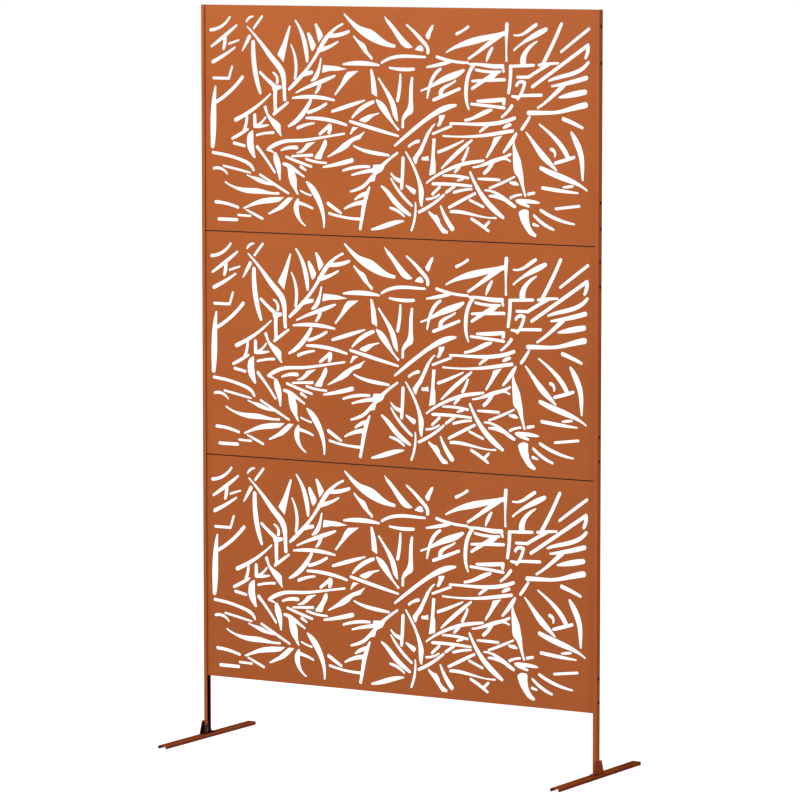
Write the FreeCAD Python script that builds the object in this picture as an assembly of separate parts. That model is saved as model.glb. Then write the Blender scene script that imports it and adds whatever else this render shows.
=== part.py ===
import FreeCAD, Part

import math
import os

from FreeCAD import Vector

# Free-standing outdoor privacy screen in powder-coated sheet steel.
# Three identical laser-cut panels stand one on another between two channel
# posts, and each post stands on a long flat foot with a trapezoid bracket.
# All sizes are in millimetres. X runs along the screen, Y from front to back,
# Z up from the floor. The origin is on the floor, under the screen's middle.

# Screen
screen_width = 1200.0
panel_count = 3
panel_height = 599.8
stack_gap = 0.2
leg_height = 168.2

# Panel: a shallow pan of folded sheet, open at the back
panel_wall = 1.0
panel_depth = 10.5
panel_bend_radius = 1.6
corner_notch = 2.2

# Post: a channel that opens towards the middle of the screen
post_depth = 19.5
post_flange = 10.3
post_wall = 1.2
post_bend_radius = 1.6
post_fit = 0.3

# Foot: a channel laid open side down
foot_length = 444.0
foot_width = 25.6
foot_height = 9.0
foot_wall = 1.5
foot_bend_radius = 2.2

# Bracket: a trapezoid plate with its lower edge folded in over the foot
bracket_top_width = 33.0
bracket_bottom_width = 57.0
bracket_height = 36.0
bracket_wall = 2.0
bracket_bend_radius = 3.0
bracket_corner_radius = 4.0
bracket_shelf = 14.0
bracket_fit = 0.2

# Panel screws and their nuts
screw_diameter = 4.0
screw_head_diameter = 8.4
screw_head_height = 2.0
screw_nut_width = 7.0
screw_nut_height = 3.2
screw_tip = 1.4

# Bracket and foot bolts with their nuts
bolt_diameter = 5.0
bolt_head_diameter = 9.4
bolt_head_height = 2.8
bolt_nut_width = 8.0
bolt_nut_height = 4.0
bolt_tip = 1.2
bolt_low_height = 11.0
bolt_high_height = 26.0
foot_bolt_spread = 40.0

# Fastener details
hole_clearance = 0.4
recess_width = 2.4
recess_depth = 1.2
head_edge_radius = 0.9
nut_chamfer_share = 0.12

# Cut-outs: the field that they fill on the panel's face
field_left_margin = 6.3
field_right_margin = 11.5
leaf_corner_radius = 3.0
straight_share = 0.002
overrun = 2.0

# Screw heights, as shares of the panel's height below its top edge
top_screw_shares = (0.07, 0.226, 0.815, 0.925)
middle_screw_shares = (0.065, 0.171, 0.812, 0.917)
bottom_screw_shares = (0.85, 0.953)

# The cut-outs are written in hundredths of the field's width and height.
hundredth_share = 0.01

# Long cut-outs: each station is across, down and width. Across is a share of
# the field's width, and down and width are shares of its height.
stroke_shares = (
    # Upper left
    ((1.7, 11.1, 1.5), (4.3, 9.7, 1.4), (6.8, 5.4, 1.1)),
    ((1.9, 18.3, 1.1), (5.4, 13.6, 1.7), (8.6, 8.9, 1.0)),
    ((5.5, 14.5, 1.9), (5.4, 17.0, 1.8), (5.1, 19.3, 1.4)),
    ((6.5, 17.1, 1.0), (7.9, 16.2, 1.0), (9.2, 15.4, 0.8)),
    ((2.3, 25.1, 1.8), (5.2, 22.2, 1.5), (8.1, 18.7, 0.9)),
    ((2.4, 32.3, 1.3), (6.4, 32.3, 1.3)),
    ((6.5, 32.2, 1.3), (7.35, 27.2, 1.2)),
    ((3.3, 42.7, 1.6), (7.0, 37.7, 1.6), (10.1, 31.7, 1.7)),
    ((2.9, 36.2, 1.1), (2.45, 44.0, 2.6), (2.3, 53.0, 3.1), (2.1, 62.4, 2.0)),
    ((11.2, 7.2, 0.9), (12.0, 5.5, 1.2), (13.0, 4.9, 0.7)),
    ((13.2, 10.0, 1.2), (14.2, 7.6, 1.3), (15.35, 4.9, 1.2)),
    ((11.5, 9.5, 0.8), (15.15, 16.7, 1.7), (18.15, 23.4, 2.6), (20.65, 29.2, 2.8),
     (21.15, 35.5, 2.0), (21.3, 41.0, 1.8)),
    ((12.0, 13.8, 1.9), (11.2, 16.5, 1.6), (10.1, 20.0, 0.7)),
    ((13.0, 16.2, 2.0), (13.05, 22.0, 2.4), (13.6, 30.0, 2.5), (14.85, 38.4, 1.4)),
    ((14.85, 29.4, 1.4), (16.5, 32.2, 1.6), (18.3, 34.9, 1.9)),
    ((18.2, 29.4, 0.9), (19.1, 30.8, 1.3), (19.3, 33.8, 1.5)),
    ((18.6, 36.2, 2.6), (20.1, 35.7, 1.6)),
    ((18.8, 35.8, 2.2), (18.75, 40.0, 1.9), (18.85, 46.5, 1.8)),
    ((18.4, 47.6, 1.4), (20.1, 45.2, 1.4), (22.1, 42.4, 1.1)),
    ((22.95, 17.0, 0.7), (24.25, 25.0, 1.6), (24.0, 31.6, 1.4)),
    ((24.15, 6.5, 0.9), (26.05, 13.0, 2.0), (26.9, 19.0, 2.3), (27.2, 24.1, 1.3)),
    # Upper branch
    ((36.4, 7.7, 1.1), (33.4, 11.4, 1.6), (32.0, 14.3, 2.1), (29.75, 20.9, 1.6),
     (27.0, 27.9, 1.6), (24.7, 32.5, 1.9), (22.45, 36.5, 1.3)),
    ((32.6, 12.9, 1.7), (35.7, 12.3, 1.8), (38.0, 10.9, 1.4)),
    ((30.3, 19.2, 2.2), (32.6, 17.9, 1.6), (35.2, 15.4, 0.9)),
    ((26.0, 30.0, 2.0), (28.4, 28.9, 1.7)),
    ((30.8, 22.9, 0.9), (30.3, 27.2, 1.6), (29.6, 30.4, 2.1), (28.3, 32.6, 0.8)),
    ((24.3, 37.9, 0.8), (28.0, 34.8, 1.5), (31.0, 32.7, 1.9), (34.4, 30.2, 0.9)),
    ((30.5, 33.8, 1.8), (30.1, 36.0, 1.6), (29.4, 37.8, 1.1)),
    ((23.4, 40.3, 0.9), (28.0, 39.6, 1.7), (34.2, 40.8, 1.0)),
    ((28.1, 41.2, 1.5), (26.4, 46.2, 2.2), (24.6, 49.8, 2.1), (22.3, 52.7, 1.0)),
    ((27.5, 46.4, 1.5), (29.8, 44.9, 1.5), (32.1, 42.5, 1.3)),
    ((33.7, 45.7, 1.2), (37.5, 43.4, 1.8), (42.1, 40.6, 0.7)),
    ((38.9, 48.2, 0.9), (41.2, 44.2, 1.9), (44.3, 41.2, 1.5)),
    ((36.9, 3.4, 0.8), (38.85, 7.0, 1.8), (40.75, 9.7, 2.8), (43.3, 11.9, 4.5),
     (46.3, 14.9, 3.2), (49.7, 16.8, 1.5)),
    ((36.6, 25.1, 0.9), (41.2, 24.5, 2.1), (45.8, 25.2, 0.9)),
    ((46.5, 24.1, 1.1), (50.3, 21.4, 1.5), (54.0, 21.1, 1.4), (57.6, 21.3, 1.0)),
    ((48.5, 26.2, 0.9), (50.5, 26.7, 1.4), (54.7, 26.6, 1.4)),
    ((51.3, 29.0, 1.0), (51.2, 33.0, 1.5), (50.6, 40.2, 1.6)),
    ((45.75, 31.0, 1.0), (48.0, 37.2, 1.8), (49.45, 42.5, 2.6), (49.95, 46.1, 2.4),
     (50.5, 48.9, 0.9)),
    ((45.2, 40.4, 1.0), (47.1, 44.2, 3.1), (48.6, 48.1, 1.8), (50.75, 52.8, 1.2)),
    ((27.0, 48.9, 1.1), (31.6, 49.2, 1.6), (37.4, 51.5, 1.1)),
    ((38.4, 49.9, 1.3), (44.5, 52.8, 1.6), (50.7, 55.6, 1.0)),
    ((8.3, 50.5, 1.9), (13.0, 45.6, 1.5), (17.5, 38.8, 0.8)),
    # Middle left
    ((11.3, 48.9, 1.3), (11.0, 52.5, 1.5), (10.5, 55.3, 1.6)),
    ((7.4, 58.8, 1.3), (9.8, 56.4, 1.5), (11.5, 54.5, 1.0)),
    ((7.8, 60.8, 1.4), (10.6, 61.9, 1.3)),
    ((13.35, 48.2, 1.6), (13.4, 53.0, 1.9)),
    ((14.2, 52.6, 1.2), (15.1, 51.4, 1.1), (16.2, 49.1, 0.9)),
    ((13.5, 53.0, 1.9), (15.0, 53.0, 1.5), (16.9, 52.5, 0.7)),
    ((13.9, 57.0, 1.1), (16.0, 56.1, 1.1), (18.3, 55.7, 1.2)),
    ((14.0, 62.2, 1.6), (16.3, 67.3, 1.3), (18.6, 73.1, 1.2)),
    ((18.75, 65.2, 1.9), (19.15, 68.0, 3.2), (19.6, 71.0, 2.7), (19.85, 74.5, 1.4),
     (19.95, 76.2, 0.9)),
    ((16.8, 63.2, 1.4), (18.6, 61.1, 1.8), (21.0, 59.5, 1.6), (25.5, 58.8, 1.4),
     (30.5, 57.4, 1.1), (36.8, 55.3, 1.0)),
    ((16.9, 63.3, 1.2), (18.2, 64.2, 0.8)),
    ((20.4, 63.3, 0.9), (22.5, 62.1, 1.5), (24.4, 62.0, 1.7)),
    ((23.2, 65.8, 0.9), (26.0, 65.4, 1.1), (28.4, 65.1, 1.4)),
    ((21.7, 66.2, 1.2), (24.8, 68.2, 1.3), (28.2, 70.1, 1.2)),
    ((26.9, 66.9, 1.2), (29.2, 67.9, 1.1), (32.1, 68.3, 1.0)),
    ((20.9, 69.3, 1.3), (22.2, 70.0, 1.8), (24.1, 72.0, 1.6), (26.3, 74.6, 0.9)),
    ((25.5, 70.3, 1.5), (26.7, 71.7, 1.1)),
    ((25.4, 80.9, 0.8), (26.6, 81.9, 0.9), (28.1, 82.7, 0.9)),
    ((27.0, 76.9, 0.9), (28.75, 80.4, 2.9), (30.15, 84.7, 2.7), (31.05, 89.0, 2.1),
     (31.5, 96.4, 0.9)),
    ((24.7, 84.9, 1.3), (24.25, 88.5, 2.7), (24.8, 92.4, 1.8), (26.6, 96.1, 0.7)),
    ((24.9, 86.2, 1.6), (26.6, 87.0, 1.3), (28.5, 88.4, 1.0)),
    ((30.5, 55.7, 1.4), (33.0, 51.9, 1.7)),
    ((33.2, 52.0, 1.6), (33.1, 53.5, 2.0), (32.85, 55.0, 1.6)),
    ((39.3, 60.5, 0.8), (43.0, 62.8, 1.6), (46.0, 63.6, 1.6), (48.3, 64.1, 1.0)),
    ((31.4, 70.1, 0.9), (35.0, 68.7, 1.7), (38.8, 66.8, 2.0)),
    ((36.5, 71.4, 1.0), (40.0, 69.7, 1.4), (43.3, 69.3, 1.2)),
    ((38.8, 73.2, 0.8), (41.5, 71.8, 1.4), (45.0, 70.7, 1.8)),
    ((50.5, 63.0, 1.1), (48.3, 66.0, 1.3), (46.3, 69.3, 2.0)),
    ((38.5, 80.4, 0.9), (40.3, 79.3, 1.4), (42.0, 77.6, 1.6), (43.4, 75.0, 1.6),
     (44.7, 72.4, 1.6)),
    ((43.35, 78.3, 1.0), (42.8, 80.8, 1.7), (42.1, 84.8, 2.1), (41.6, 89.5, 1.9),
     (40.95, 96.4, 1.5)),
    ((39.6, 83.8, 0.8), (41.1, 82.0, 1.7), (42.7, 80.9, 1.6)),
    ((36.9, 88.0, 0.8), (39.2, 86.0, 1.6), (41.9, 84.9, 2.0)),
    ((32.9, 90.3, 1.2), (36.5, 91.7, 1.1), (41.2, 92.3, 1.4)),
    ((32.6, 86.0, 1.6), (34.4, 88.2, 1.6), (35.9, 89.9, 1.2)),
    ((43.9, 96.6, 0.8), (47.0, 95.0, 2.1), (50.0, 93.2, 1.9), (52.1, 92.4, 0.7)),
    ((46.5, 77.7, 1.0), (48.4, 80.9, 2.1), (50.0, 84.3, 2.4), (52.0, 87.4, 2.0),
     (53.7, 89.6, 1.4)),
    ((48.7, 86.9, 1.1), (50.3, 87.8, 1.4), (52.3, 90.3, 0.9)),
    ((48.9, 71.9, 0.8), (50.0, 74.0, 1.5), (51.4, 75.0, 2.0)),
    ((48.9, 74.2, 0.8), (51.4, 80.6, 1.4), (54.2, 85.5, 1.2)),
    ((51.98, 65.2, 1.7), (51.9, 70.0, 1.75), (51.6, 78.1, 1.6)),
    ((52.7, 62.5, 0.8), (54.85, 69.3, 1.3), (56.15, 75.3, 1.8), (56.65, 79.5, 2.6),
     (56.6, 83.2, 2.0), (56.7, 85.4, 1.1)),
    ((55.15, 84.3, 0.8), (55.1, 89.5, 1.2), (54.15, 96.2, 1.1)),
    ((53.5, 59.9, 1.2), (54.8, 58.3, 1.3), (55.9, 57.6, 1.6)),
    ((49.9, 59.8, 1.0), (53.1, 54.9, 1.6), (56.55, 49.9, 1.7), (59.3, 46.3, 2.0),
     (62.0, 43.6, 2.5), (65.4, 41.7, 1.0)),
    # Upper middle
    ((61.5, 26.3, 1.3), (59.8, 29.4, 1.7), (58.8, 33.5, 1.5), (58.15, 38.8, 0.9)),
    ((56.6, 35.8, 0.9), (59.6, 33.3, 1.4), (62.0, 31.0, 2.5), (64.8, 29.0, 2.9),
     (67.3, 26.7, 1.3)),
    ((65.3, 31.1, 0.8), (63.2, 33.4, 1.3), (61.7, 35.7, 2.0), (61.6, 38.0, 1.9)),
    ((59.8, 39.6, 1.5), (63.0, 37.2, 1.5), (66.3, 34.6, 1.3)),
    ((59.6, 54.2, 1.1), (64.2, 50.7, 1.2)),
    ((62.2, 55.0, 0.9), (68.5, 55.0, 1.0), (72.5, 54.3, 1.4), (76.0, 53.2, 1.6),
     (79.6, 52.0, 1.5)),
    ((64.0, 49.6, 1.1), (69.0, 49.6, 1.3), (74.0, 49.3, 1.7), (77.5, 48.2, 1.7),
     (80.1, 46.5, 1.5)),
    ((73.3, 50.0, 1.6), (71.5, 52.7, 1.1)),
    ((61.0, 62.0, 1.4), (63.3, 60.3, 1.4), (67.3, 56.8, 0.7)),
    ((61.8, 69.0, 0.8), (64.7, 63.9, 1.8), (69.4, 56.5, 1.0)),
    ((68.5, 59.9, 1.2), (67.9, 62.8, 1.4), (67.2, 65.2, 1.5)),
    ((58.0, 75.5, 0.8), (61.0, 71.7, 1.2), (64.5, 68.6, 1.5), (67.5, 66.7, 1.6),
     (70.0, 65.8, 1.5), (72.4, 65.1, 1.1)),
    ((66.2, 68.3, 1.6), (65.2, 70.4, 1.2)),
    ((62.2, 72.1, 0.9), (65.0, 72.05, 1.2), (68.5, 72.8, 1.2)),
    ((67.2, 73.2, 1.2), (65.9, 74.0, 0.9)),
    ((59.6, 75.8, 1.4), (64.0, 75.7, 1.4), (69.3, 76.2, 1.1)),
    ((59.5, 80.3, 1.3), (61.3, 77.1, 1.3)),
    ((63.0, 79.3, 1.3), (65.0, 76.6, 1.4)),
    ((64.9, 79.2, 1.2), (67.0, 78.1, 1.2), (69.4, 77.5, 0.9)),
    ((58.0, 82.5, 1.1), (59.5, 82.0, 1.0), (61.2, 80.4, 0.9)),
    ((56.1, 88.2, 1.4), (59.5, 84.6, 1.4), (62.4, 80.4, 1.1)),
    ((63.75, 85.7, 1.3), (67.05, 82.4, 1.5), (70.25, 79.3, 1.2)),
    ((69.0, 82.3, 1.2), (72.3, 84.9, 1.2)),
    ((69.05, 70.4, 1.2), (70.4, 75.5, 1.6), (72.5, 81.3, 2.3), (74.5, 85.1, 2.5),
     (77.3, 89.2, 1.4)),
    ((64.2, 87.5, 1.3), (67.0, 87.6, 1.5), (70.5, 88.7, 1.0), (75.5, 89.5, 0.9)),
    ((69.4, 90.3, 1.3), (71.6, 92.6, 1.5), (73.6, 95.2, 1.2)),
    ((72.7, 93.4, 1.4), (73.8, 91.3, 1.2)),
    ((61.6, 85.4, 0.9), (62.7, 89.8, 1.8), (64.5, 94.8, 2.2)),
    ((65.6, 11.1, 1.5), (67.0, 9.8, 1.2), (68.4, 8.1, 1.4)),
    ((52.9, 7.6, 0.9), (55.0, 10.9, 1.5), (57.0, 14.6, 1.8), (58.2, 17.4, 1.7),
     (58.3, 19.4, 1.6)),
    ((60.6, 21.1, 1.4), (64.3, 22.8, 1.3), (68.4, 23.4, 1.1)),
    ((58.0, 25.6, 0.8), (60.5, 24.7, 1.5), (63.8, 23.2, 1.4)),
    # Upper right
    ((63.0, 19.0, 0.8), (66.8, 15.7, 2.1), (69.5, 14.2, 2.9), (73.5, 12.4, 2.4),
     (77.6, 10.6, 2.1)),
    ((68.6, 21.6, 1.2), (71.45, 18.0, 1.6), (73.9, 14.7, 2.1), (76.6, 11.4, 1.9)),
    ((78.15, 6.8, 1.9), (78.05, 10.5, 1.7), (78.0, 15.5, 1.1), (78.05, 22.1, 1.2)),
    ((74.5, 16.9, 1.2), (73.6, 19.9, 1.7), (73.05, 22.6, 0.7)),
    ((68.8, 24.0, 1.0), (71.0, 24.0, 1.3), (73.5, 24.5, 1.8), (77.1, 24.5, 1.7)),
    ((77.0, 24.5, 1.6), (77.35, 26.8, 1.2)),
    ((69.8, 24.4, 1.7), (68.5, 28.8, 1.8), (67.95, 35.0, 1.9), (68.1, 40.0, 1.5),
     (68.65, 43.2, 0.9)),
    ((70.4, 26.3, 1.2), (73.0, 27.0, 1.3), (76.5, 26.9, 1.1)),
    ((74.9, 27.9, 1.6), (72.0, 31.3, 1.7), (69.5, 34.4, 1.3)),
    ((75.9, 27.3, 1.4), (74.3, 29.6, 1.9)),
    ((69.5, 31.2, 1.1), (73.0, 30.7, 1.4), (77.6, 30.3, 1.4)),
    ((70.8, 39.7, 1.1), (74.0, 39.4, 1.8), (77.5, 38.7, 1.6)),
    ((77.4, 38.9, 1.9), (77.4, 40.4, 1.7)),
    ((69.3, 41.0, 1.2), (73.5, 41.6, 1.3), (77.5, 42.3, 1.4)),
    ((67.8, 48.0, 1.2), (70.0, 46.8, 1.5), (72.4, 44.7, 2.0), (74.3, 43.3, 1.2)),
    ((77.4, 50.8, 1.0), (78.2, 50.0, 1.6), (79.0, 49.4, 1.4)),
    ((80.5, 53.2, 1.2), (79.2, 57.0, 2.0), (78.3, 59.2, 1.6), (77.4, 61.2, 1.1)),
    ((83.8, 46.0, 1.2), (82.9, 48.6, 1.5), (81.9, 51.2, 1.4)),
    ((83.6, 44.2, 2.0), (87.5, 44.0, 1.7), (90.6, 43.6, 1.5), (94.0, 42.0, 2.1),
     (97.5, 40.3, 2.6)),
    ((92.2, 46.4, 1.8), (94.5, 48.0, 1.7), (96.8, 49.9, 1.3)),
    ((86.3, 49.0, 0.9), (88.7, 52.4, 1.4), (90.9, 56.2, 2.0), (93.2, 62.3, 2.0)),
    ((90.2, 65.2, 1.4), (92.5, 63.9, 1.6), (94.8, 62.5, 1.4)),
    ((94.15, 52.1, 1.2), (95.6, 57.0, 2.7), (96.6, 62.3, 2.4), (96.85, 67.0, 1.9),
     (96.95, 72.1, 0.9)),
    ((83.0, 52.6, 0.8), (84.3, 55.6, 1.5), (85.8, 59.3, 2.3), (87.1, 62.2, 2.9),
     (88.7, 65.1, 2.3), (90.5, 68.3, 0.8)),
    ((89.2, 59.4, 1.5), (90.0, 60.5, 1.4), (90.1, 62.4, 0.8)),
    ((86.7, 67.5, 1.8), (90.6, 70.4, 2.6), (93.3, 72.1, 2.4), (95.8, 73.9, 1.5),
     (98.0, 76.4, 0.8)),
    ((92.2, 75.4, 0.8), (93.3, 75.1, 1.2), (94.5, 74.8, 1.0)),
    ((87.1, 75.9, 1.5), (91.0, 76.8, 1.6), (95.8, 77.6, 0.7)),
    ((90.4, 84.6, 1.2), (96.1, 83.15, 1.2)),
    ((86.7, 85.5, 1.4), (90.2, 88.7, 1.5), (94.9, 90.9, 0.8)),
    ((85.0, 87.8, 1.2), (87.2, 91.1, 1.5), (89.8, 93.5, 1.1)),
    ((84.9, 91.6, 1.4), (86.0, 92.2, 0.9)),
    ((79.2, 80.6, 1.3), (80.3, 79.7, 1.1), (81.8, 79.1, 1.0)),
    ((83.6, 78.8, 1.4), (85.0, 78.2, 1.2)),
    ((73.9, 76.8, 1.0), (77.0, 74.4, 1.2), (80.1, 71.6, 0.8)),
    ((71.1, 73.0, 1.0), (74.0, 73.0, 1.3), (76.3, 73.1, 1.2)),
    ((72.8, 77.8, 0.9), (75.2, 78.6, 1.2), (77.7, 81.3, 1.8), (80.2, 84.3, 1.4)),
    ((73.9, 80.2, 1.0), (76.0, 80.5, 1.6), (78.0, 81.8, 1.5)),
    ((69.8, 68.1, 0.9), (72.5, 66.8, 1.3), (75.0, 65.0, 1.8), (77.0, 63.8, 1.5),
     (79.1, 62.0, 1.1)),
    ((77.0, 64.0, 1.2), (78.0, 64.1, 1.0), (79.0, 64.9, 0.9)),
    ((74.6, 65.8, 1.8), (73.8, 68.2, 1.7), (72.6, 70.4, 1.6)),
    ((79.9, 11.3, 0.8), (82.0, 10.8, 1.2), (83.6, 9.0, 1.6), (85.4, 6.7, 1.5)),
    ((79.95, 17.6, 1.0), (82.3, 14.2, 1.3), (84.9, 11.4, 2.3), (87.8, 8.6, 1.8)),
    ((85.6, 13.8, 0.7), (83.8, 16.2, 1.6), (82.7, 18.8, 2.2), (82.2, 21.2, 2.8),
     (82.2, 23.2, 2.8)),
    ((79.1, 24.6, 1.8), (79.0, 30.0, 1.7), (78.6, 35.8, 1.5)),
    ((79.1, 24.5, 1.2), (82.0, 24.2, 1.4), (84.8, 23.9, 1.3)),
    ((86.1, 23.8, 1.3), (88.0, 23.3, 1.4), (90.9, 22.8, 0.9)),
    ((91.6, 6.3, 1.6), (89.5, 14.7, 1.7), (87.2, 22.8, 1.8)),
    ((88.3, 23.6, 1.6), (86.0, 26.1, 1.5), (83.6, 28.9, 1.5)),
    ((83.6, 29.0, 1.4), (80.8, 29.1, 1.3)),
    ((98.3, 8.2, 1.4), (94.95, 13.0, 1.4), (91.55, 18.0, 1.2)),
    ((98.1, 15.0, 1.6), (92.4, 22.6, 1.6), (84.5, 33.0, 1.5)),
    ((98.1, 15.4, 1.8), (97.9, 18.8, 1.7), (97.55, 20.3, 1.4)),
    ((98.2, 22.3, 1.4), (96.3, 25.5, 1.8), (92.7, 28.0, 1.8), (88.6, 30.3, 1.0)),
    ((97.7, 28.8, 2.0), (94.0, 30.8, 1.9), (89.3, 32.6, 0.9)),
    ((92.2, 32.2, 1.9), (90.3, 35.4, 1.8), (88.4, 38.5, 1.4), (85.9, 41.9, 1.1)),
    ((91.1, 37.3, 0.8), (94.8, 35.8, 2.5), (97.4, 34.8, 2.2)),
    ((80.6, 32.5, 1.5), (82.0, 31.0, 1.5), (82.6, 31.5, 1.5)),
    ((82.6, 31.3, 1.5), (82.1, 34.5, 1.5), (80.9, 38.3, 1.3)),
    ((79.5, 37.3, 1.1), (80.8, 37.6, 1.5)),
    ((81.5, 36.9, 1.3), (86.7, 36.5, 1.4)),
    ((79.4, 41.4, 1.6), (78.3, 44.0, 1.3), (76.9, 46.2, 1.1)),
    # Lower left
    ((24.7, 53.4, 1.5), (26.8, 51.9, 1.3), (28.9, 51.1, 0.9)),
    ((11.3, 74.8, 0.7), (13.0, 75.9, 1.2), (14.3, 76.7, 2.0), (16.3, 78.0, 1.4),
     (18.6, 78.5, 1.2)),
    ((14.7, 74.4, 1.1), (18.5, 78.4, 1.3), (22.2, 82.2, 1.0)),
    ((5.5, 78.2, 0.9), (8.7, 80.8, 1.4), (11.5, 81.6, 2.3), (14.3, 81.7, 2.3),
     (17.0, 82.3, 1.3), (19.6, 82.4, 1.1)),
    ((2.9, 87.1, 1.5), (5.5, 87.6, 1.4), (8.8, 89.2, 1.3)),
    ((8.9, 92.6, 1.1), (12.1, 92.8, 1.0)),
    ((11.1, 90.2, 0.8), (13.1, 91.9, 1.2), (15.3, 93.8, 1.2)),
    ((3.7, 94.7, 1.5), (8.5, 94.7, 1.5)),
    ((2.2, 65.3, 1.4), (6.0, 66.3, 1.4), (10.0, 68.3, 1.5), (12.1, 70.2, 1.6),
     (13.0, 72.5, 1.2)),
    ((2.4, 72.3, 1.2), (4.2, 72.2, 1.3), (6.0, 74.6, 0.7)),
    ((5.0, 71.0, 1.0), (8.5, 72.3, 1.1), (12.1, 73.7, 0.9)),
)

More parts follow.
